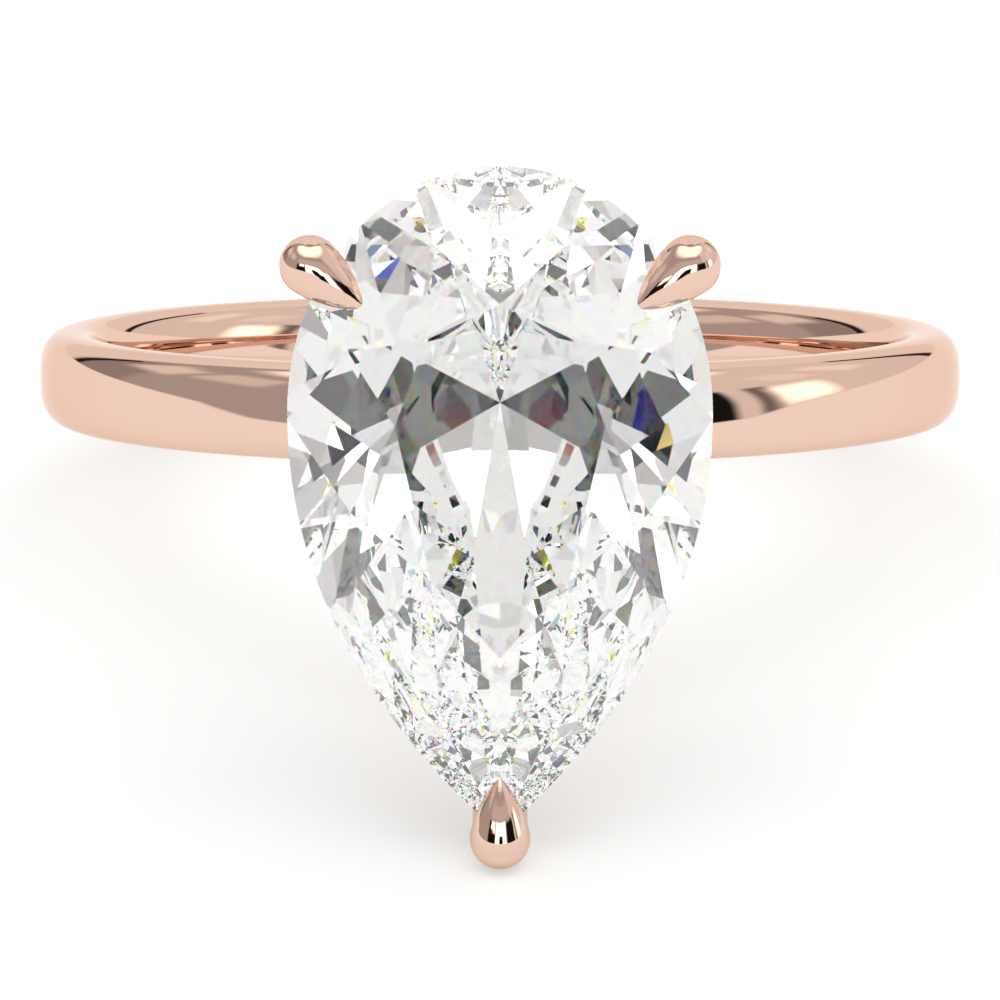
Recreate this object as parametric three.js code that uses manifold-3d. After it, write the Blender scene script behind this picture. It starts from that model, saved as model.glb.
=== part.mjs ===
// A solitaire engagement ring: a pear-cut stone in three claws, on two gallery rails, over a plain band.
// Millimetres. The origin is the centre of the finger hole, +Y runs along the finger towards the stone's
// round end, +Z points up through the stone, and the ring is the same on both sides of X = 0.
import * as THREE from "three";
import { mergeVertices } from "three/addons/utils/BufferGeometryUtils.js";
import Module from "manifold-3d";

const wasm = await Module();
wasm.setup();

// Band: a court section, rounded all round, with a narrow flat on each side.
const FINGER_DIAMETER = 17.3;
const BAND_THICKNESS = 1.4;
const BAND_WIDTH = 2;
const BAND_SWELL = 1.03; // the rounded section's width before its sides are made flat, over BAND_WIDTH
const BAND_SQUARENESS = 2.7; // exponent of the superellipse that the section follows
const BAND_STEPS = 72;
const SECTION_STEPS = 10; // across the outer face, and across the inner one

// Stone: a pear brilliant. Its points are seen from above, on the right side, from round end to tip.
const GIRDLE_TOP = 14.45;
const GIRDLE_BOTTOM = 14.2;
const TABLE_HEIGHT = 15.6;
const STONE_HALF_WIDTH = 4.15;
const STONE_TOP_Y = 5.34;
const STONE_WIDEST_Y = 0.55;
const STONE_TIP_Y = -7.77;
const TIP_HALF_ANGLE = THREE.MathUtils.degToRad(48);
const SIDE_BULGE = 4; // length of the side curve's handle at the widest place
const TIP_BULGE = 2.5; // length of its handle at the tip
// Where the main facets meet the girdle, as a share of its length.
const CROWN_PLACES = [0, 0.21, 0.43, 0.674, 1];
const PAVILION_PLACES = [0, 0.18, 0.4, 0.72, 1];
const TABLE_CORNERS = [
  [0, 2.74],
  [1.42, 2.06],
  [2.03, 0.38],
  [1.33, -2.65],
  [0, -4.13],
];
const STAR_SHARE = 0.58; // height of the star facets' points, as a share of the crown
const CULET = new THREE.Vector3(0, 0.66, 10.84);
// How far the lower halves run from the girdle to the culet, from the round end to the tip.
const LOWER_HALF_SHARES = [0.64, 0.64, 0.64, 0.62];
// How far the two main facets at the tip turn away from each other.
const CROWN_TIP_TURN = THREE.MathUtils.degToRad(24);
const PAVILION_TIP_TURN = THREE.MathUtils.degToRad(28);
const OUTLINE_STEPS = 48; // along one side

// Claws: round wires that rise from the base, each ending in a drop that lies on the crown.
const CLAW_RADIUS = 0.58;
const CLAW_TAPER = 1.8; // exponent of the drop's outline
const CLAW_POINT_RADIUS = 0.05;
const CLAW_HEIGHT = 14.62;
const CLAW_RISE = 0.3; // how far the point is above the drop's centre
const WIRE_TOP_RADIUS = 0.57;
const WIRE_FOOT_RADIUS = 0.42;
const WIRE_BEND_HEIGHT = 11.6;
const WIRE_FOOT_HEIGHT = 10.4;
const SIDE_CLAW_TURN = THREE.MathUtils.degToRad(37.7); // of the drop, from the X axis towards the tip
const SIDE_CLAW = {
  place: new THREE.Vector2(3.69, 3.43),
  foot: new THREE.Vector2(0.8, 0.1),
  inward: new THREE.Vector2(-Math.cos(SIDE_CLAW_TURN), -Math.sin(SIDE_CLAW_TURN)),
  length: 1.45, // from the drop's centre to its point
  bendShare: 0.33, // where the wire's bend is, from the claw to the foot
};
const POINT_CLAW = {
  place: new THREE.Vector2(0, -7.84),
  foot: new THREE.Vector2(0, -0.85),
  inward: new THREE.Vector2(0, 1),
  length: 1.31,
  bendShare: 0.05,
};
const WIRE_STEPS = 14;
const ROUND_STEPS = 12;

// Gallery rails: two rings of round wire, each a share of the stone's own size.
const RAIL_RADIUS = 0.36;
const UPPER_RAIL = { height: 12.58, share: 0.82 };
const LOWER_RAIL = { height: 11.3, share: 0.36 };
const RAIL_STEPS = 48;

// Base: a shallow cup on a peg that goes through the top of the band.
const CUP_RADIUS = 1.2;
const CUP_BOTTOM = 9.6;
const CUP_TOP = 10.42;
const CUP_HOLLOW = 0.12;
const PEG_RADIUS = 0.55;
const PEG_BOTTOM = 8.75;

const GAP = 0.03; // between pieces that are soldered or set against each other
const ROSE_GOLD = 0xe0ab92;
const DIAMOND = 0xf2f6fa;

const BAND_OUTER = FINGER_DIAMETER / 2 + BAND_THICKNESS;

// ---- Solids ----

function solidOf(geometry) {
  const bare = geometry.clone();
  bare.deleteAttribute("normal");
  bare.deleteAttribute("uv");
  const merged = mergeVertices(bare, 1e-4);
  const corners = merged.index.array;
  const kept = [];
  for (let i = 0; i < corners.length; i += 3) {
    const [a, b, c] = corners.subarray(i, i + 3);
    if (a !== b && b !== c && c !== a) kept.push(a, b, c);
  }
  const made = new wasm.Manifold(
    new wasm.Mesh({
      numProp: 3,
      vertProperties: merged.attributes.position.array,
      triVerts: new Uint32Array(kept),
    }),
  );
  if (made.volume() <= 0) throw new Error("a piece is inside out");
  return made;
}

function geometryOf(solid) {
  const { vertProperties, triVerts } = solid.getMesh();
  const geometry = new THREE.BufferGeometry();
  geometry.setAttribute("position", new THREE.BufferAttribute(vertProperties, 3));
  geometry.setIndex(new THREE.BufferAttribute(triVerts, 1));
  const flat = geometry.toNonIndexed();
  flat.computeVertexNormals();
  return flat;
}

function lathe(profile, steps) {
  const points = profile.map(([radius, height]) => new THREE.Vector2(radius, height));
  return new THREE.LatheGeometry(points, steps);
}

// Bends an upright lathe of height 1 along a curve that lies in one plane.
function bentAlong(geometry, curve) {
  const across = new THREE.Vector3().crossVectors(curve.getTangent(0), curve.getTangent(1)).normalize();
  const position = geometry.getAttribute("position");
  for (let i = 0; i < position.count; i++) {
    const along = THREE.MathUtils.clamp(position.getY(i), 0, 1);
    const tangent = curve.getTangent(along);
    const outward = new THREE.Vector3().crossVectors(tangent, across);
    const place = curve
      .getPoint(along)
      .addScaledVector(outward, position.getX(i))
      .addScaledVector(across, position.getZ(i));
    position.setXYZ(i, place.x, place.y, place.z);
  }
  return geometry;
}

// ---- The stone ----

// The right side of the girdle seen from above, from the round end to the tip.
function girdleSide() {
  const side = new THREE.CurvePath();
  const semiLength = STONE_TOP_Y - STONE_WIDEST_Y;
  side.add(
    new THREE.EllipseCurve(0, STONE_WIDEST_Y, STONE_HALF_WIDTH, semiLength, Math.PI / 2, 0, true),
  );
  side.add(
    new THREE.CubicBezierCurve(
      new THREE.Vector2(STONE_HALF_WIDTH, STONE_WIDEST_Y),
      new THREE.Vector2(STONE_HALF_WIDTH, STONE_WIDEST_Y - SIDE_BULGE),
      new THREE.Vector2(
        TIP_BULGE * Math.sin(TIP_HALF_ANGLE),
        STONE_TIP_Y + TIP_BULGE * Math.cos(TIP_HALF_ANGLE),
      ),
      new THREE.Vector2(0, STONE_TIP_Y),
    ),
  );
  return side;
}

const GIRDLE_SIDE = girdleSide();

// The whole outline, anticlockwise from the round end, grown by a margin.
function pearOutline(margin) {
  const left = [];
  for (let i = 0; i <= OUTLINE_STEPS; i++) {
    const at = i / OUTLINE_STEPS;
    const point = GIRDLE_SIDE.getPointAt(at);
    const tangent = GIRDLE_SIDE.getTangentAt(at);
    const outward = new THREE.Vector2(-tangent.y, tangent.x);
    if (i === 0 || i === OUTLINE_STEPS) outward.set(0, Math.sign(point.y));
    left.push(new THREE.Vector2(-point.x - outward.x * margin, point.y + outward.y * margin));
  }
  const right = left.slice(1, -1).reverse().map((point) => new THREE.Vector2(-point.x, point.y));
  return [...left, ...right];
}

function mirrored(point) {
  return new THREE.Vector3(-point.x, point.y, point.z);
}

// A plane through three points, turned so that the stone's middle is behind it.
function facetThrough(a, b, c) {
  const plane = new THREE.Plane().setFromCoplanarPoints(a, b, c);
  const middle = new THREE.Vector3(0, CULET.y, GIRDLE_TOP);
  return plane.distanceToPoint(middle) > 0 ? plane.negate() : plane;
}

// A main facet: it holds its girdle point and an inner point, and runs level along the girdle. At the tip
// it is one of a pair, each turned away from the other so that they meet in a ridge.
function mainFacet(girdlePoint, inner, place, tipTurn) {
  const tangent = place === 0 ? new THREE.Vector2(1, 0) : GIRDLE_SIDE.getTangentAt(place);
  if (place === 1) tangent.set(Math.cos(tipTurn), Math.sin(tipTurn));
  const level = girdlePoint.clone().add(new THREE.Vector3(tangent.x, tangent.y, 0));
  return facetThrough(girdlePoint, inner, level);
}

// Where two facets meet at a given height.
function meeting(first, second, height) {
  const [a, b] = [first.normal, second.normal];
  const c = -first.constant - a.z * height;
  const d = -second.constant - b.z * height;
  const determinant = a.x * b.y - a.y * b.x;
  return new THREE.Vector3((c * b.y - d * a.y) / determinant, (a.x * d - b.x * c) / determinant, height);
}

function girdlePoint(place, height) {
  const point = GIRDLE_SIDE.getPointAt(place);
  return new THREE.Vector3(point.x, point.y, height);
}

// The facets of the crown or the pavilion: mains, then the two halves between each pair of them. The
// crown's mains rise to the table's corners, where its stars lie too; the pavilion's all reach the culet.
function facetsOf({ girdleHeight, places, innerPoints, meetHeights, tipTurn, hasStars }) {
  const points = places.map((place) => girdlePoint(place, girdleHeight));
  const mains = places.map((place, i) => mainFacet(points[i], innerPoints[i], place, tipTurn));
  const rightSide = [];
  for (let i = 0; i + 1 < mains.length; i++) {
    const meet = meeting(mains[i], mains[i + 1], meetHeights[i]);
    const between = girdlePoint((places[i] + places[i + 1]) / 2, girdleHeight);
    rightSide.push([points[i], between, meet], [between, points[i + 1], meet]);
    if (hasStars) rightSide.push([innerPoints[i], innerPoints[i + 1], meet]);
  }
  const small = rightSide.flatMap((three) => [facetThrough(...three), facetThrough(...three.map(mirrored))]);
  const leftMains = mains.slice(1).map((plane) => {
    const { x, y, z } = plane.normal;
    return new THREE.Plane(new THREE.Vector3(-x, y, z), plane.constant);
  });
  return [...mains, ...leftMains, ...small];
}

// The stone, grown by a margin on every side for what must keep clear of it.
function pearStone(margin) {
  const blank = new THREE.ExtrudeGeometry(new THREE.Shape(pearOutline(margin)), {
    depth: TABLE_HEIGHT - CULET.z + 2 * margin,
    bevelEnabled: false,
  });
  blank.translate(0, 0, CULET.z - margin);
  const corners = TABLE_CORNERS.map(([x, y]) => new THREE.Vector3(x, y, TABLE_HEIGHT));
  const starHeight = GIRDLE_TOP + STAR_SHARE * (TABLE_HEIGHT - GIRDLE_TOP);
  const crown = facetsOf({
    girdleHeight: GIRDLE_TOP,
    places: CROWN_PLACES,
    innerPoints: corners,
    meetHeights: CROWN_PLACES.map(() => starHeight),
    tipTurn: CROWN_TIP_TURN,
    hasStars: true,
  });
  const pavilion = facetsOf({
    girdleHeight: GIRDLE_BOTTOM,
    places: PAVILION_PLACES,
    innerPoints: PAVILION_PLACES.map(() => CULET),
    meetHeights: LOWER_HALF_SHARES.map((share) => GIRDLE_BOTTOM - share * (GIRDLE_BOTTOM - CULET.z)),
    tipTurn: PAVILION_TIP_TURN,
    hasStars: false,
  });
  return [...crown, ...pavilion].reduce(
    (stone, { normal, constant }) =>
      stone.trimByPlane([-normal.x, -normal.y, -normal.z], constant - margin),
    solidOf(blank),
  );
}

// ---- The band ----

// The hoop without its peg hole, grown by a margin.
function hoop(margin) {
  const middle = (FINGER_DIAMETER + BAND_THICKNESS) / 2;
  const halfThickness = BAND_THICKNESS / 2 + margin;
  const halfWidth = BAND_WIDTH / 2 + margin;
  const swollen = (value) => Math.sign(value) * Math.abs(value) ** (2 / BAND_SQUARENESS);
  const edge = Math.asin(BAND_SWELL ** (-BAND_SQUARENESS / 2)); // where the rounding meets the flats
  const section = [];
  for (const start of [-edge, Math.PI - edge]) {
    for (let i = 0; i <= SECTION_STEPS; i++) {
      const angle = start + (2 * edge * i) / SECTION_STEPS;
      const radius = middle + swollen(Math.cos(angle)) * halfThickness;
      section.push([radius, swollen(Math.sin(angle)) * halfWidth * BAND_SWELL]);
    }
  }
  section.push(section[0]);
  return solidOf(lathe(section, BAND_STEPS));
}

function pegRod(radius, bottom, top) {
  const rod = new THREE.CylinderGeometry(radius, radius, top - bottom, ROUND_STEPS);
  rod.rotateX(Math.PI / 2).translate(0, 0, (top + bottom) / 2);
  return solidOf(rod);
}

// ---- The head ----

// A cup shaped underneath to the top of the band, on its peg.
function headBase() {
  const profile = lathe(
    [
      [0, CUP_BOTTOM],
      [CUP_RADIUS * 0.8, CUP_BOTTOM],
      [CUP_RADIUS, CUP_BOTTOM + CUP_HOLLOW],
      [CUP_RADIUS, CUP_TOP - CUP_HOLLOW],
      [CUP_RADIUS * 0.9, CUP_TOP],
      [CUP_RADIUS * 0.6, CUP_TOP - CUP_HOLLOW / 2],
      [0, CUP_TOP - CUP_HOLLOW],
    ],
    ROUND_STEPS * 2,
  );
  const cup = solidOf(profile.rotateX(Math.PI / 2)).subtract(hoop(GAP));
  return cup.add(pegRod(PEG_RADIUS, PEG_BOTTOM, CUP_TOP - 2 * CUP_HOLLOW));
}

// A ring of wire around the pavilion: half an ellipse for the round end and a longer half for the tip.
function galleryRail({ height, share }, margin) {
  const ring = new THREE.TorusGeometry(1, RAIL_RADIUS + margin, ROUND_STEPS, RAIL_STEPS);
  const halfWidth = STONE_HALF_WIDTH * share;
  const position = ring.getAttribute("position");
  for (let i = 0; i < position.count; i++) {
    const [x, y, z] = [position.getX(i), position.getY(i), position.getZ(i)];
    const beyond = Math.hypot(x, y) - 1;
    const angle = Math.atan2(y, x);
    const end = angle > 0 ? STONE_TOP_Y : STONE_TIP_Y;
    const halfLength = Math.abs(end - CULET.y) * share;
    const outward = new THREE.Vector2(halfLength * Math.cos(angle), halfWidth * Math.sin(angle)).normalize();
    position.setXYZ(
      i,
      halfWidth * Math.cos(angle) + outward.x * beyond,
      CULET.y + halfLength * Math.sin(angle) + outward.y * beyond,
      height + z,
    );
  }
  return solidOf(ring);
}

function clawDrop(length) {
  const profile = [];
  for (let i = 0; i <= ROUND_STEPS / 2; i++) {
    const angle = (i / ROUND_STEPS) * Math.PI - Math.PI / 2;
    profile.push([CLAW_RADIUS * Math.cos(angle), CLAW_RADIUS * Math.sin(angle)]);
  }
  for (let i = 1; i <= ROUND_STEPS; i++) {
    const share = i / ROUND_STEPS;
    const radius = CLAW_RADIUS * (1 - share ** CLAW_TAPER);
    profile.push([Math.max(radius, CLAW_POINT_RADIUS), length * share]);
  }
  profile.push([0, length]);
  return lathe(profile, ROUND_STEPS);
}

// One claw: its wire from the head to the foot, and its drop pointing inwards over the stone.
function clawProng({ place, foot, inward, length, bendShare }) {
  const top = new THREE.Vector3(place.x, place.y, CLAW_HEIGHT);
  const end = new THREE.Vector3(foot.x, foot.y, WIRE_FOOT_HEIGHT);
  const bend = top.clone().lerp(end, bendShare).setZ(WIRE_BEND_HEIGHT);
  const profile = [[0, 0]];
  for (let i = 0; i <= WIRE_STEPS; i++) {
    const share = i / WIRE_STEPS;
    profile.push([THREE.MathUtils.lerp(WIRE_TOP_RADIUS, WIRE_FOOT_RADIUS, share), share]);
  }
  profile.push([0, 1]);
  const wire = bentAlong(lathe(profile, ROUND_STEPS), new THREE.QuadraticBezierCurve3(top, bend, end));
  const aim = new THREE.Vector3(inward.x * length, inward.y * length, CLAW_RISE).normalize();
  const turn = new THREE.Quaternion().setFromUnitVectors(new THREE.Vector3(0, 1, 0), aim);
  const drop = clawDrop(length).applyQuaternion(turn).translate(top.x, top.y, top.z);
  return solidOf(wire).add(solidOf(drop));
}

// ---- Assembly ----

const stone = pearStone(0);
const base = headBase();
const upperRail = galleryRail(UPPER_RAIL, 0);
const lowerRail = galleryRail(LOWER_RAIL, 0);
const band = hoop(0).subtract(pegRod(PEG_RADIUS + GAP, 0, BAND_OUTER + 1));

// What the claws are notched for: the stone's seat, both rails, and the cup that their feet stand in.
const clawCuts = [
  pearStone(GAP),
  galleryRail(UPPER_RAIL, GAP),
  galleryRail(LOWER_RAIL, GAP),
  pegRod(CUP_RADIUS + GAP, CUP_BOTTOM - 1, CUP_TOP + GAP),
];

function notched(prong) {
  return clawCuts.reduce((left, cut) => left.subtract(cut), prong);
}

const rightProng = notched(clawProng(SIDE_CLAW));
const leftProng = rightProng.mirror([1, 0, 0]);
const pointProng = notched(clawProng(POINT_CLAW));

const rosyGold = () => new THREE.MeshStandardMaterial({ color: ROSE_GOLD, roughness: 0.12, metalness: 1 });
const clearStone = () => new THREE.MeshStandardMaterial({ color: DIAMOND, roughness: 0.02, metalness: 0 });

const group = new THREE.Group();

function addPiece(name, solid, material) {
  const mesh = new THREE.Mesh(geometryOf(solid), material);
  mesh.name = name;
  group.add(mesh);
}

addPiece("shank", band, rosyGold());
addPiece("head_base", base, rosyGold());
addPiece("lower_gallery_rail", lowerRail, rosyGold());
addPiece("upper_gallery_rail", upperRail, rosyGold());
addPiece("left_claw_prong", leftProng, rosyGold());
addPiece("right_claw_prong", rightProng, rosyGold());
addPiece("point_claw_prong", pointProng, rosyGold());
addPiece("pear_stone", stone, clearStone());

export default group;
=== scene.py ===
"""A solitaire engagement ring with a pear-cut stone, leaning on its point claw on a pale studio floor."""
import math

import bmesh
import bpy
import numpy as np
from mathutils import Matrix, Vector


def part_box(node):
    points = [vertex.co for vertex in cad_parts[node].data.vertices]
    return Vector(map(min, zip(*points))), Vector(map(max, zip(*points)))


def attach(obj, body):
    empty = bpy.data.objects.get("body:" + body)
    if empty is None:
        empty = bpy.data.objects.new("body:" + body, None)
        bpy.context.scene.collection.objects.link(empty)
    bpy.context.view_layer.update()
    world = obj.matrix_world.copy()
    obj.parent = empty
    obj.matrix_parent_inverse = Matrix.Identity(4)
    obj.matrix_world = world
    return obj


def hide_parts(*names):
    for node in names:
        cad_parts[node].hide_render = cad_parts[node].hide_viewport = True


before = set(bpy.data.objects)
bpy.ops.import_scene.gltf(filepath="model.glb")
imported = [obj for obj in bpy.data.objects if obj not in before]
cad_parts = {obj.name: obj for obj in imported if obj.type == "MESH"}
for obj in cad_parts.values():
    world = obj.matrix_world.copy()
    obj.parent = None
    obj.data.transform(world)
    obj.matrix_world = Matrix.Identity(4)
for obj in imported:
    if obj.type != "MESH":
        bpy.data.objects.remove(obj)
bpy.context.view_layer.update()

MM = 0.001

# ---- Sizes, in millimetres, from the frame where it holds them ----

STONE_LOW, STONE_HIGH = [[value / MM for value in corner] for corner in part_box("pear_stone")]
BAND_LOW, BAND_HIGH = [[value / MM for value in corner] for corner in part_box("shank")]
CUP_LOW, CUP_HIGH = [[value / MM for value in corner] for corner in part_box("head_base")]

BAND_OUTER = BAND_HIGH[0]
BAND_INNER = 8.65
BAND_HALF_WIDTH = BAND_HIGH[1]
BAND_SQUARENESS = 2.7

GIRDLE_TOP = 14.45
GIRDLE_BOTTOM = 14.2
TABLE_HEIGHT = STONE_HIGH[2]
STONE_HALF_WIDTH = STONE_HIGH[0]
STONE_TOP_Y = STONE_HIGH[1]
STONE_TIP_Y = STONE_LOW[1]
STONE_WIDEST_Y = 0.55
TIP_HALF_ANGLE = math.radians(48)
SIDE_BULGE = 4
TIP_BULGE = 2.5
CROWN_PLACES = (0, 0.21, 0.43, 0.674, 1)
PAVILION_PLACES = (0, 0.18, 0.4, 0.72, 1)
TABLE_CORNERS = ((0, 2.74), (1.42, 2.06), (2.03, 0.38), (1.33, -2.65), (0, -4.13))
STAR_SHARE = 0.58
CULET = Vector((0, 0.66, STONE_LOW[2]))
LOWER_HALF_SHARES = (0.64, 0.64, 0.64, 0.62)
CROWN_TIP_TURN = math.radians(24)
PAVILION_TIP_TURN = math.radians(28)
OUTLINE_STEPS = 72

CLAW_RADIUS = 0.58
SIDE_CLAW_LENGTH = 1.45
POINT_CLAW_LENGTH = 1.31
CLAW_TAPER = 1.8
CLAW_HEIGHT = 14.62
CLAW_RISE = 0.3
SIDE_CLAW = Vector((3.69, 3.43, CLAW_HEIGHT))
SIDE_CLAW_TURN = math.radians(37.7)
POINT_CLAW = Vector((0, -7.84, CLAW_HEIGHT))
WIRE_TOP_RADIUS = 0.57
WIRE_FOOT_RADIUS = 0.42
SIDE_BEND_SHARE = 0.33
POINT_BEND_SHARE = 0.05
WIRE_BEND_HEIGHT = 11.6
WIRE_FOOT_HEIGHT = 10.4
SIDE_FOOT = Vector((0.8, 0.1, WIRE_FOOT_HEIGHT))
POINT_FOOT = Vector((0, -0.85, WIRE_FOOT_HEIGHT))

RAIL_RADIUS = 0.36
RAILS = {"upper_gallery_rail": (12.58, 0.82), "lower_gallery_rail": (11.3, 0.36)}

CUP_RADIUS = CUP_HIGH[0]
GAP = 0.03

# The floor that the ring leans on: it touches the point claw and the back of the band.
FLOOR_TILT = math.radians(17)
FLOOR_UP = Vector((0, math.cos(FLOOR_TILT), math.sin(FLOOR_TILT)))


# ---- Mesh helpers ----

def object_from(name, bm, scale=MM):
    bmesh.ops.scale(bm, vec=(scale, scale, scale), verts=bm.verts)
    bmesh.ops.recalc_face_normals(bm, faces=bm.faces)
    mesh = bpy.data.meshes.new(name)
    bm.to_mesh(mesh)
    bm.free()
    piece = bpy.data.objects.new(name, mesh)
    bpy.context.scene.collection.objects.link(piece)
    return piece


def grid(rows, wrap_rows, wrap_columns):
    """A mesh from rows of points, each joined to the next, closed round in either direction."""
    bm = bmesh.new()
    lines = [[bm.verts.new(point) for point in row] for row in rows]
    row_pairs = list(zip(lines, lines[1:]))
    if wrap_rows:
        row_pairs.append((lines[-1], lines[0]))
    for near, far in row_pairs:
        count = len(near)
        for i in range(count if wrap_columns else count - 1):
            j = (i + 1) % count
            bm.faces.new((near[i], near[j], far[j], far[i]))
    return bm


def lathe(profile, steps):
    """A solid turned about Z, from (radius, height) pairs that start and end on the axis."""
    rows = []
    for k in range(steps):
        turn = 2 * math.pi * k / steps
        rows.append([(r * math.cos(turn), r * math.sin(turn), z) for r, z in profile])
    bm = grid(rows, True, False)
    bmesh.ops.remove_doubles(bm, verts=bm.verts, dist=1e-5)
    bmesh.ops.dissolve_degenerate(bm, edges=bm.edges, dist=1e-6)
    return bm


def smooth(piece, sharp_angle):
    mesh = piece.data
    mesh.shade_smooth()
    mesh.set_sharp_from_angle(angle=math.radians(sharp_angle))


# ---- The stone ----

def bezier(points, t):
    a, b, c, d = points
    u = 1 - t
    return a * u**3 + 3 * b * u * u * t + 3 * c * u * t * t + d * t**3


def girdle_side():
    """Points along the right side of the girdle, evenly spaced from the round end to the tip."""
    head = []
    for i in range(400):
        turn = math.pi / 2 * (1 - i / 400)
        head.append((
            STONE_HALF_WIDTH * math.cos(turn),
            STONE_WIDEST_Y + (STONE_TOP_Y - STONE_WIDEST_Y) * math.sin(turn),
        ))
    handles = [
        Vector((STONE_HALF_WIDTH, STONE_WIDEST_Y)),
        Vector((STONE_HALF_WIDTH, STONE_WIDEST_Y - SIDE_BULGE)),
        Vector((TIP_BULGE * math.sin(TIP_HALF_ANGLE), STONE_TIP_Y + TIP_BULGE * math.cos(TIP_HALF_ANGLE))),
        Vector((0, STONE_TIP_Y)),
    ]
    side = [tuple(bezier(handles, i / 400)) for i in range(401)]
    return np.array(head + side)


GIRDLE_SIDE = girdle_side()
GIRDLE_LENGTHS = np.concatenate([[0], np.cumsum(np.linalg.norm(np.diff(GIRDLE_SIDE, axis=0), axis=1))])


def girdle_point(place, height=0.0):
    at = place * GIRDLE_LENGTHS[-1]
    x = np.interp(at, GIRDLE_LENGTHS, GIRDLE_SIDE[:, 0])
    y = np.interp(at, GIRDLE_LENGTHS, GIRDLE_SIDE[:, 1])
    return Vector((x, y, height))


def girdle_tangent(place, tip_turn=0.0):
    """The girdle's direction at a place; at the tip, that of one of the two main facets that meet there."""
    if place == 0:
        return Vector((1, 0, 0))
    if place == 1:
        return Vector((math.cos(tip_turn), math.sin(tip_turn), 0))
    step = 0.002
    return (girdle_point(place + step) - girdle_point(place - step)).normalized()


def facet_through(a, b, c):
    """(normal, offset) of the plane through three points, facing away from the stone's middle."""
    normal = (b - a).cross(c - a).normalized()
    offset = normal.dot(a)
    if normal.dot(Vector((0, CULET.y, GIRDLE_TOP))) > offset:
        return -normal, -offset
    return normal, offset


def meeting(first, second, height):
    """Where two facets meet at a given height."""
    (a, p), (b, q) = first, second
    c = p - a.z * height
    d = q - b.z * height
    determinant = a.x * b.y - a.y * b.x
    return Vector(((c * b.y - d * a.y) / determinant, (a.x * d - b.x * c) / determinant, height))


def mirrored(point):
    return Vector((-point.x, point.y, point.z))


def facets_of(girdle_height, places, inner_points, meet_heights, tip_turn, has_stars):
    """The main facets, the two halves between each pair, and the crown's stars."""
    points = [girdle_point(place, girdle_height) for place in places]
    mains = [
        facet_through(point, inner, point + girdle_tangent(place, tip_turn))
        for point, inner, place in zip(points, inner_points, places)
    ]
    small = []
    for i in range(len(mains) - 1):
        meet = meeting(mains[i], mains[i + 1], meet_heights[i])
        between = girdle_point((places[i] + places[i + 1]) / 2, girdle_height)
        small.append((points[i], between, meet))
        small.append((between, points[i + 1], meet))
        if has_stars:
            small.append((inner_points[i], inner_points[i + 1], meet))
    facets = mains + [(mirrored(normal), offset) for normal, offset in mains[1:]]
    for three in small:
        facets.append(facet_through(*three))
        facets.append(facet_through(*[mirrored(point) for point in three]))
    return facets


def stone_facets():
    corners = [Vector((x, y, TABLE_HEIGHT)) for x, y in TABLE_CORNERS]
    culets = [CULET] * len(PAVILION_PLACES)
    star_heights = [GIRDLE_TOP + STAR_SHARE * (TABLE_HEIGHT - GIRDLE_TOP)] * len(CROWN_PLACES)
    lower_heights = [GIRDLE_BOTTOM - share * (GIRDLE_BOTTOM - CULET.z) for share in LOWER_HALF_SHARES]
    crown = facets_of(GIRDLE_TOP, CROWN_PLACES, corners, star_heights, CROWN_TIP_TURN, True)
    pavilion = facets_of(GIRDLE_BOTTOM, PAVILION_PLACES, culets, lower_heights, PAVILION_TIP_TURN, False)
    return crown + pavilion


def stone_mesh(margin):
    """The stone in millimetres, cut facet by facet from a prism of its outline."""
    outline = []
    for i in range(OUTLINE_STEPS + 1):
        point = girdle_point(i / OUTLINE_STEPS)
        tangent = girdle_tangent(i / OUTLINE_STEPS)
        outward = Vector((-tangent.y, tangent.x, 0))
        if i == OUTLINE_STEPS:
            outward = Vector((0, -1, 0))
        outline.append(point + outward * margin)
    outline += [mirrored(point) for point in outline[-2:0:-1]]
    bm = bmesh.new()
    bottom = [bm.verts.new((p.x, p.y, CULET.z - margin)) for p in outline]
    top = [bm.verts.new((p.x, p.y, TABLE_HEIGHT + margin)) for p in outline]
    bm.faces.new(bottom)
    bm.faces.new(top)
    for i, low in enumerate(bottom):
        j = (i + 1) % len(bottom)
        bm.faces.new((low, bottom[j], top[j], top[i]))
    bmesh.ops.recalc_face_normals(bm, faces=bm.faces)
    for normal, offset in stone_facets():
        cut = bmesh.ops.bisect_plane(
            bm,
            geom=bm.verts[:] + bm.edges[:] + bm.faces[:],
            dist=1e-5,
            plane_co=normal * (offset + margin),
            plane_no=normal,
            clear_outer=True,
        )
        rim = [e for e in cut["geom_cut"] if isinstance(e, bmesh.types.BMEdge) and e.is_boundary]
        if rim:
            bmesh.ops.edgeloop_fill(bm, edges=rim)
    return bm


# ---- Gold pieces ----

def swollen(value):
    return math.copysign(abs(value) ** (2 / BAND_SQUARENESS), value)


def make_shank():
    middle = (BAND_OUTER + BAND_INNER) / 2
    half_thickness = (BAND_OUTER - BAND_INNER) / 2
    section = []
    for i in range(96):
        angle = 2 * math.pi * i / 96
        section.append((
            middle + swollen(math.cos(angle)) * half_thickness,
            swollen(math.sin(angle)) * BAND_HALF_WIDTH,
        ))
    rows = []
    for k in range(360):
        turn = 2 * math.pi * k / 360
        rows.append([(r * math.sin(turn), y, r * math.cos(turn)) for r, y in section])
    piece = object_from("band", grid(rows, True, True))
    smooth(piece, 60)
    return piece


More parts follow.
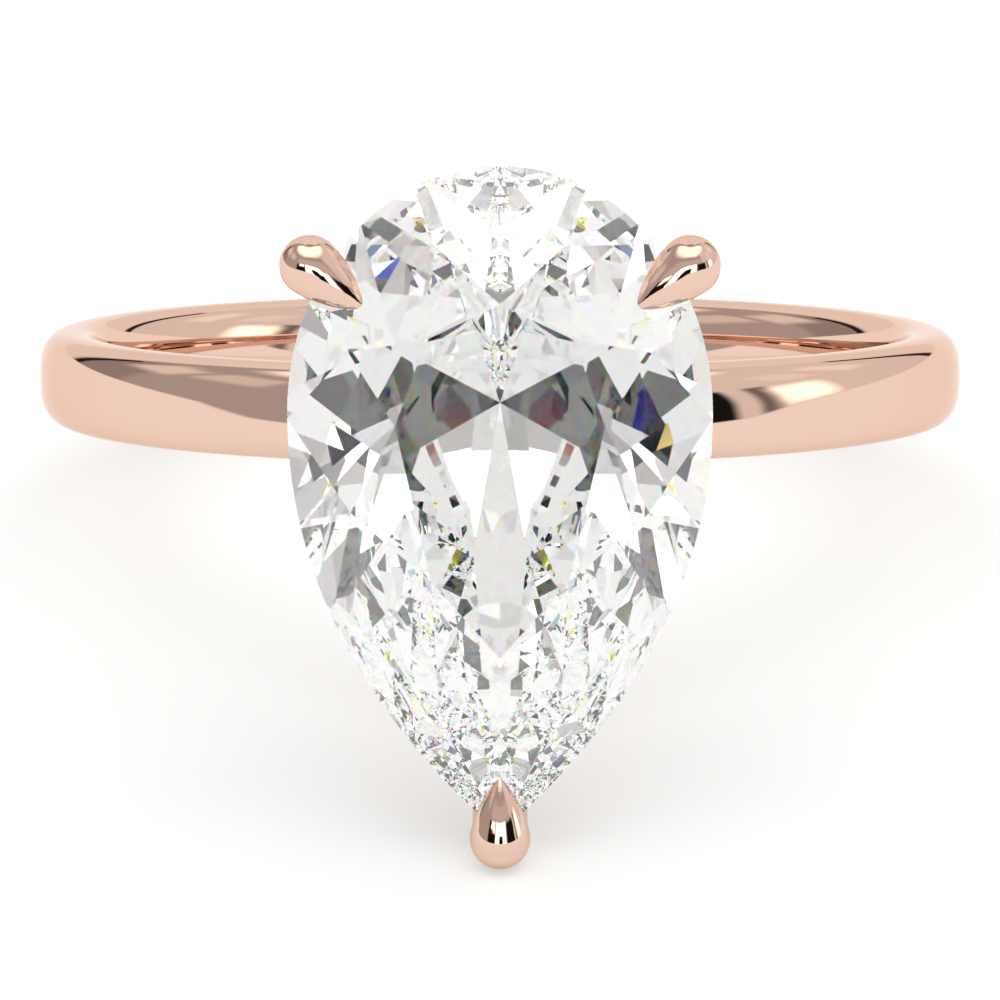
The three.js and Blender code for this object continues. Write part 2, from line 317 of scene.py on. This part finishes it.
def rail_mesh(height, share, margin):
    """A ring of round wire: half an ellipse for the round end and a longer half for the tip."""
    half_width = STONE_HALF_WIDTH * share
    rows = []
    for k in range(192):
        angle = 2 * math.pi * k / 192
        end = STONE_TOP_Y if math.sin(angle) > 0 else STONE_TIP_Y
        half_length = abs(end - CULET.y) * share
        outward = Vector((half_length * math.cos(angle), half_width * math.sin(angle), 0)).normalized()
        centre = Vector((half_width * math.cos(angle), CULET.y + half_length * math.sin(angle), height))
        row = []
        for i in range(32):
            round_angle = 2 * math.pi * i / 32
            radius = RAIL_RADIUS + margin
            offset = outward * math.cos(round_angle) + Vector((0, 0, math.sin(round_angle)))
            row.append(centre + offset * radius)
        rows.append(row)
    return grid(rows, True, True)


def make_cup():
    hollow = 0.12
    top = CUP_HIGH[2]
    profile = [
        (0, top - 2 * hollow),
        (CUP_RADIUS * 0.6, top - hollow),
        (CUP_RADIUS * 0.9, top - 0.02),
        (CUP_RADIUS * 0.96, top),
        (CUP_RADIUS, top - 0.06),
        (CUP_RADIUS, top - 0.4),
        (CUP_RADIUS, CUP_LOW[2] + 1.3),
        (0, CUP_LOW[2] + 1.3),
    ]
    piece = object_from("base_cup", lathe(profile, 96))
    smooth(piece, 35)
    return piece


class Claw:
    """The shape of one claw as a smooth distance field: a tapered wire and a drop, blended together."""

    def __init__(self, top, foot, inward, length, bend_share):
        self.top = np.array(top)
        self.foot = np.array(foot)
        self.length = length
        self.bend = self.top + (self.foot - self.top) * bend_share
        self.bend[2] = WIRE_BEND_HEIGHT
        aim = Vector((inward.x * length, inward.y * length, CLAW_RISE)).normalized()
        self.aim = np.array(aim)

    def centre(self, share):
        t = np.asarray(share)[..., None]
        return (1 - t) ** 2 * self.top + 2 * t * (1 - t) * self.bend + t**2 * self.foot

    def wire(self, points):
        shares = np.linspace(0, 1, 161)
        line = self.centre(shares)
        apart = ((points[:, None, :] - line[None]) ** 2).sum(-1)
        nearest = apart.argmin(1)
        low = np.clip(nearest - 1, 0, 160)
        high = np.clip(nearest + 1, 0, 160)
        start, end = line[low], line[high]
        along = ((points - start) * (end - start)).sum(-1) / ((end - start) ** 2).sum(-1)
        along = np.clip(along, 0, 1)
        share = shares[low] + along * (shares[high] - shares[low])
        distance = np.linalg.norm(points - self.centre(share), axis=1)
        return distance - (WIRE_TOP_RADIUS + (WIRE_FOOT_RADIUS - WIRE_TOP_RADIUS) * share)

    def drop(self, points):
        offset = points - self.top
        along = offset @ self.aim
        across = np.linalg.norm(offset - along[:, None] * self.aim, axis=1)
        inside = np.clip(along, 0, self.length) / self.length
        radius = CLAW_RADIUS * (1 - inside**CLAW_TAPER)
        slope = CLAW_RADIUS * CLAW_TAPER * inside ** (CLAW_TAPER - 1) / self.length
        body = (across - radius) / np.sqrt(1 + slope**2)
        ball = np.linalg.norm(offset, axis=1) - CLAW_RADIUS
        return np.where(along < 0, ball, body)

    def field(self, points):
        a, b = self.wire(points), self.drop(points)
        blend = 0.08
        h = np.clip(0.5 + 0.5 * (b - a) / blend, 0, 1)
        return b * (1 - h) + a * h - blend * h * (1 - h)

    def settle(self, points, rounds):
        """Moves points onto the surface."""
        step = 1e-3
        for _ in range(rounds):
            value = self.field(points)
            slopes = [
                (self.field(points + shift) - self.field(points - shift)) / (2 * step)
                for shift in np.eye(3) * step
            ]
            gradient = np.stack(slopes, -1)
            size = np.maximum((gradient**2).sum(-1), 0.25)
            points = points - (value / size)[:, None] * gradient
        return points


def round_rod(centres, radii, steps):
    """A closed rod along centre points, with a ring of the given radius at each."""
    rows = []
    for i, centre in enumerate(centres):
        before, after = centres[max(i - 1, 0)], centres[min(i + 1, len(centres) - 1)]
        tangent = Vector(after - before).normalized()
        side = tangent.cross(Vector((0.3, 0.9, 0.2))).normalized()
        other = tangent.cross(side)
        ring = []
        for k in range(steps):
            turn = 2 * math.pi * k / steps
            offset = side * math.cos(turn) + other * math.sin(turn)
            ring.append(Vector(centre) + offset * radii[i])
        rows.append(ring)
    bm = grid(rows, False, True)
    bmesh.ops.holes_fill(bm, edges=[edge for edge in bm.edges if edge.is_boundary])
    return bm


def remeshed(piece, voxel):
    modifier = piece.modifiers.new("remesh", "REMESH")
    modifier.mode = "VOXEL"
    modifier.voxel_size = voxel
    return applied(piece)


def applied(piece):
    """Makes the piece's modifiers part of its mesh."""
    graph = bpy.context.evaluated_depsgraph_get()
    mesh = bpy.data.meshes.new_from_object(piece.evaluated_get(graph))
    old = piece.data
    piece.modifiers.clear()
    piece.data = mesh
    bpy.data.meshes.remove(old)
    return piece


def make_claw(name, claw, cutters):
    shares = np.linspace(0, 1, 40)
    rod = round_rod(
        claw.centre(shares),
        WIRE_TOP_RADIUS + (WIRE_FOOT_RADIUS - WIRE_TOP_RADIUS) * shares,
        24,
    )
    along = np.concatenate([np.linspace(-CLAW_RADIUS * 0.995, 0, 12), np.linspace(0.05, claw.length * 0.985, 24)])
    radii = np.where(
        along < 0,
        np.sqrt(np.maximum(CLAW_RADIUS**2 - along**2, 0)),
        CLAW_RADIUS * (1 - (np.maximum(along, 0) / claw.length) ** CLAW_TAPER),
    )
    drop = round_rod(claw.top + along[:, None] * claw.aim, radii, 24)
    drop_mesh = bpy.data.meshes.new("drop")
    drop.to_mesh(drop_mesh)
    drop.free()
    rod.from_mesh(drop_mesh)
    bpy.data.meshes.remove(drop_mesh)
    piece = object_from(name, rod, 1)
    piece = remeshed(piece, 0.045)
    mesh = piece.data
    points = np.empty(len(mesh.vertices) * 3)
    mesh.vertices.foreach_get("co", points)
    points = claw.settle(points.reshape(-1, 3), 3)
    mesh.vertices.foreach_set("co", points.ravel())
    mesh.update()
    for cutter in cutters:
        modifier = piece.modifiers.new("cut", "BOOLEAN")
        modifier.operation = "DIFFERENCE"
        modifier.solver = "EXACT"
        modifier.object = cutter
    piece = applied(piece)
    piece.data.transform(Matrix.Scale(MM, 4))
    piece.data.update()
    smooth(piece, 40)
    return piece


def make_claws():
    cutters = [object_from("stone_cutter", stone_mesh(GAP), 1)]
    for height, share in RAILS.values():
        cutters.append(object_from("rail_cutter", rail_mesh(height, share, GAP), 1))
    top = CUP_HIGH[2] + GAP
    radius = CUP_RADIUS + GAP
    profile = [(0, CUP_LOW[2]), (radius, CUP_LOW[2]), (radius, top), (0, top)]
    cutters.append(object_from("cup_cutter", lathe(profile, 96), 1))
    inward = Vector((-math.cos(SIDE_CLAW_TURN), -math.sin(SIDE_CLAW_TURN), 0))
    side = (SIDE_CLAW_LENGTH, SIDE_BEND_SHARE)
    point = (POINT_CLAW_LENGTH, POINT_BEND_SHARE)
    shapes = {
        "right": Claw(SIDE_CLAW, SIDE_FOOT, inward, *side),
        "left": Claw(mirrored(SIDE_CLAW), mirrored(SIDE_FOOT), mirrored(inward), *side),
        "point": Claw(POINT_CLAW, POINT_FOOT, Vector((0, 1, 0)), *point),
    }
    claws = {f"{end}_claw_prong": make_claw(f"{end}_claw", shape, cutters) for end, shape in shapes.items()}
    for cutter in cutters:
        bpy.data.objects.remove(cutter)
    return claws


# ---- Materials ----

class Nodes:
    """Short ways to make and join the nodes of one tree."""

    def __init__(self, tree):
        self.tree = tree
        tree.nodes.clear()

    def add(self, kind, **values):
        node = self.tree.nodes.new(kind)
        for key, value in values.items():
            setattr(node, key, value)
        return node

    def feed(self, socket, value):
        if isinstance(value, bpy.types.NodeSocket):
            self.tree.links.new(value, socket)
        else:
            socket.default_value = value

    def math(self, operation, *values, clamp=False):
        node = self.add("ShaderNodeMath", operation=operation, use_clamp=clamp)
        for socket, value in zip(node.inputs, values):
            self.feed(socket, value)
        return node.outputs[0]

    def smoothstep(self, value, start, end):
        node = self.add("ShaderNodeMapRange", interpolation_type="SMOOTHSTEP")
        self.feed(node.inputs["Value"], value)
        node.inputs["From Min"].default_value = start
        node.inputs["From Max"].default_value = end
        return node.outputs["Result"]

    def mix_colour(self, factor, first, second):
        node = self.add("ShaderNodeMix", data_type="RGBA")
        self.feed(node.inputs["Factor"], factor)
        self.feed(node.inputs[6], first)
        self.feed(node.inputs[7], second)
        return node.outputs[2]

    def mix_shader(self, factor, first, second):
        node = self.add("ShaderNodeMixShader")
        self.feed(node.inputs[0], factor)
        self.feed(node.inputs[1], first)
        self.feed(node.inputs[2], second)
        return node.outputs[0]


def new_material(name):
    material = bpy.data.materials.new(name)
    material.use_nodes = True
    return material, Nodes(material.node_tree)


GOLD = (0.80, 0.565, 0.462, 1)
GOLD_EDGE = (0.92, 0.8, 0.73, 1)


def rose_gold():
    material, nodes = new_material("polished_rose_gold")
    place = nodes.add("ShaderNodeTexCoord").outputs["Object"]
    polish = nodes.add("ShaderNodeTexNoise")
    polish.inputs["Scale"].default_value = 900
    polish.inputs["Detail"].default_value = 4
    nodes.feed(polish.inputs["Vector"], place)
    rough = nodes.add("ShaderNodeMapRange")
    nodes.feed(rough.inputs["Value"], polish.outputs["Fac"])
    rough.inputs["To Min"].default_value = 0.02
    rough.inputs["To Max"].default_value = 0.06
    surface = nodes.add("ShaderNodeBsdfPrincipled")
    surface.inputs["Base Color"].default_value = GOLD
    surface.inputs["Metallic"].default_value = 1
    surface.inputs["Specular Tint"].default_value = GOLD_EDGE
    nodes.feed(surface.inputs["Roughness"], rough.outputs["Result"])
    output = nodes.add("ShaderNodeOutputMaterial")
    nodes.feed(output.inputs["Surface"], surface.outputs[0])
    return material


DIAMOND_IOR = {"red": 2.407, "green": 2.42, "blue": 2.444}


def diamond():
    """Clear stone: light that leaves it is split by colour, and light that stays in is mirrored whole."""
    material, nodes = new_material("diamond")
    bend_in = nodes.add("ShaderNodeBsdfRefraction")
    bend_in.inputs["IOR"].default_value = DIAMOND_IOR["green"]
    bend_in.inputs["Roughness"].default_value = 0
    spread = None
    for channel, (name, ior) in enumerate(DIAMOND_IOR.items()):
        part = nodes.add("ShaderNodeBsdfRefraction", name=name)
        part.inputs["Color"].default_value = [float(channel == k) for k in range(3)] + [1]
        part.inputs["IOR"].default_value = ior
        part.inputs["Roughness"].default_value = 0
        if spread is None:
            spread = part.outputs[0]
            continue
        both = nodes.add("ShaderNodeAddShader")
        nodes.feed(both.inputs[0], spread)
        nodes.feed(both.inputs[1], part.outputs[0])
        spread = both.outputs[0]
    inside = nodes.add("ShaderNodeNewGeometry").outputs["Backfacing"]
    bent = nodes.mix_shader(inside, bend_in.outputs[0], spread)
    mirror = nodes.add("ShaderNodeBsdfGlossy")
    mirror.inputs["Color"].default_value = (1, 1, 1, 1)
    mirror.inputs["Roughness"].default_value = 0
    share = nodes.add("ShaderNodeFresnel")
    share.inputs["IOR"].default_value = DIAMOND_IOR["green"]
    surface = nodes.mix_shader(share.outputs[0], bent, mirror.outputs[0])
    output = nodes.add("ShaderNodeOutputMaterial")
    nodes.feed(output.inputs["Surface"], surface)
    return material


def floor_material():
    """Pale paper, clear from underneath so that the ring shows from every side."""
    material, nodes = new_material("floor_paper")
    surface = nodes.add("ShaderNodeBsdfPrincipled")
    surface.inputs["Base Color"].default_value = (0.44, 0.445, 0.452, 1)
    surface.inputs["Roughness"].default_value = 1
    surface.inputs["Specular IOR Level"].default_value = 0
    surface.inputs["Emission Color"].default_value = (1, 1, 0.99, 1)
    surface.inputs["Emission Strength"].default_value = 0.45
    underneath = nodes.add("ShaderNodeNewGeometry").outputs["Backfacing"]
    clear = nodes.add("ShaderNodeBsdfTransparent")
    output = nodes.add("ShaderNodeOutputMaterial")
    nodes.feed(output.inputs["Surface"], nodes.mix_shader(underneath, surface.outputs[0], clear.outputs[0]))
    return material


# ---- Studio ----

# Each patch of the studio's walls: turn from the camera's side, rise above the floor, half sizes, soft
# edge, all in degrees, and brightness. Turns beyond 180 are the wall behind the ring.
PATCHES = (
    (180, 40, 39, 60, 6, (0.98, 0.96, 0.94)),
    (180, 78, 55, 5, 6, (0.42, 0.40, 0.38)),
    (0, 38, 50, 13, 8, (0.66, 0.63, 0.61)),
    (0, 47, 118, 7, 10, (0.47, 0.45, 0.44)),
    (0, 84, 125, 31, 14, (1.9, 1.88, 1.8)),
    (-124, 8, 15, 22, 8, (0.34, 0.32, 0.32)),
    (-115, 28, 12, 8, 8, (0.9, 0.86, 0.82)),
    (-83, 33, 14, 8, 8, (0.8, 0.76, 0.73)),
    (100, 25, 48, 28, 10, (0.86, 0.84, 0.82)),
    (92, 33, 9, 7, 7, (1.0, 0.97, 0.92)),
    (120, 30, 8, 8, 7, (1.1, 1.07, 1.0)),
    (71, 8, 4, 14, 4, (0.2, 0.19, 0.19)),
    (83, 9, 9, 9, 9, (2.2, 2.15, 1.9)),
    (-137, 10, 2.5, 15, 2, (0.02, 0.02, 0.02)),
    (146, 12, 2.5, 18, 2, (0.02, 0.02, 0.02)),
    (-33, 9, 17, 13, 4, (0.01, 0.01, 0.01)),
    (44, 9, 16, 13, 4, (0.01, 0.01, 0.01)),
    (3, 8, 22, 16, 2, (2.2, 2.2, 2.2)),
    (3.5, 5, 7, 9, 1.5, (0.01, 0.01, 0.01)),
    (-31, 19, 9, 4, 2, (2.2, 2.2, 2.2)),
)
WALL = (0.48, 0.46, 0.455, 1)
FLOOR_LIGHT = (0.98, 0.98, 0.97, 1)

# What the stone sees over the studio: the dark end of the room around the camera, with two small lamps in
# it, which its flat facets return as black and grey between the white ones.
GEM_PATCHES = (
    (2, 9, 45, 19, 4, (0.02, 0.02, 0.026)),
    (0, 16, 12, 25, 4, (0.02, 0.02, 0.026)),
    (-33, 19, 9, 4, 2, (2.0, 2.0, 2.0)),
    (20, 8, 6, 10, 2, (2.0, 2.0, 2.0)),
)
# How much brighter the studio is for the floor than in the gold, so that the floor comes out white.
FLOOR_LIFT = 1.5


def make_world():
    world = bpy.data.worlds.new("studio")
    bpy.context.scene.world = world
    world.use_nodes = True
    nodes = Nodes(world.node_tree)
    direction = nodes.add("ShaderNodeTexCoord").outputs["Generated"]

    def along(axis):
        dot = nodes.add("ShaderNodeVectorMath", operation="DOT_PRODUCT")
        nodes.feed(dot.inputs[0], direction)
        dot.inputs[1].default_value = axis
        return dot.outputs["Value"]

    towards_camera = Vector((1, 0, 0)).cross(FLOOR_UP)
    up, front, right = along(FLOOR_UP), along(towards_camera), along((1, 0, 0))
    rise = nodes.math("DEGREES", nodes.math("ARCSINE", up))
    turn = nodes.math("DEGREES", nodes.math("ARCTAN2", right, front))

    def panels(colour, patches):
        for centre, height, half_turn, half_rise, soft, shade in patches:
            gap = nodes.math("ABSOLUTE", nodes.math("SUBTRACT", turn, centre))
            gap = nodes.math("MINIMUM", gap, nodes.math("SUBTRACT", 360, gap))
            across = nodes.smoothstep(gap, half_turn + soft / 2, half_turn - soft / 2)
            rise_gap = nodes.math("ABSOLUTE", nodes.math("SUBTRACT", rise, height))
            upward = nodes.smoothstep(rise_gap, half_rise + soft / 2, half_rise - soft / 2)
            colour = nodes.mix_colour(nodes.math("MULTIPLY", across, upward), colour, (*shade, 1))
        return colour

    studio = panels(WALL, PATCHES)
    below = nodes.smoothstep(rise, 0.3, -0.3)
    studio = nodes.mix_colour(below, studio, FLOOR_LIGHT)
    path = nodes.add("ShaderNodeLightPath")
    seen = nodes.mix_colour(path.outputs["Is Transmission Ray"], studio, panels(studio, GEM_PATCHES))
    seen = nodes.mix_colour(path.outputs["Is Camera Ray"], seen, FLOOR_LIGHT)
    light = nodes.add("ShaderNodeBackground")
    nodes.feed(light.inputs["Color"], seen)
    lift = nodes.math("MULTIPLY_ADD", path.outputs["Is Diffuse Ray"], FLOOR_LIFT - 1, 1)
    nodes.feed(light.inputs["Strength"], lift)
    output = nodes.add("ShaderNodeOutputWorld")
    nodes.feed(output.inputs["Surface"], light.outputs[0])


def make_floor():
    """The floor touches the lowest points of the claw and the band along its own upward direction."""
    lowest = min(
        vertex.co.dot(FLOOR_UP)
        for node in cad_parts.values()
        for vertex in node.data.vertices
    )
    centre = FLOOR_UP * lowest
    bm = bmesh.new()
    bmesh.ops.create_grid(bm, x_segments=2, y_segments=2, size=0.6)
    floor = object_from("floor", bm, 1)
    floor.rotation_euler = FLOOR_UP.to_track_quat("Z", "Y").to_euler()
    floor.location = centre
    floor.data.materials.append(floor_material())
    floor.visible_transmission = False


def make_camera():
    data = bpy.data.cameras.new("camera")
    data.sensor_width = 36
    data.lens = 213.5
    data.clip_start = 0.005
    camera = bpy.data.objects.new("camera", data)
    camera.location = (0, 0.01171, 0.12947)
    camera.rotation_euler = (math.radians(-6.39), 0, 0)
    bpy.context.scene.collection.objects.link(camera)
    bpy.context.scene.camera = camera


# ---- The scene ----

def take_place(piece, node, material, slot):
    piece.data.materials.clear()
    piece.data.materials.append(material)
    piece.visible_transmission = slot == "diamond"
    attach(piece, "root")
    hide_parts(node)


make_camera()
make_world()
gold = rose_gold()
clear = diamond()

take_place(make_shank(), "shank", gold, "rose_gold")
for node_name, (rail_height, rail_share) in RAILS.items():
    rail = object_from(node_name.replace("gallery_", ""), rail_mesh(rail_height, rail_share, 0))
    smooth(rail, 60)
    take_place(rail, node_name, gold, "rose_gold")
take_place(make_cup(), "head_base", gold, "rose_gold")
for node_name, claw_piece in make_claws().items():
    take_place(claw_piece, node_name, gold, "rose_gold")
stone = object_from("pear_brilliant", stone_mesh(0))
take_place(stone, "pear_stone", clear, "diamond")
make_floor()

scene = bpy.context.scene
scene.view_settings.view_transform = "Standard"
scene.cycles.max_bounces = 32
scene.cycles.glossy_bounces = 32
scene.cycles.transmission_bounces = 32
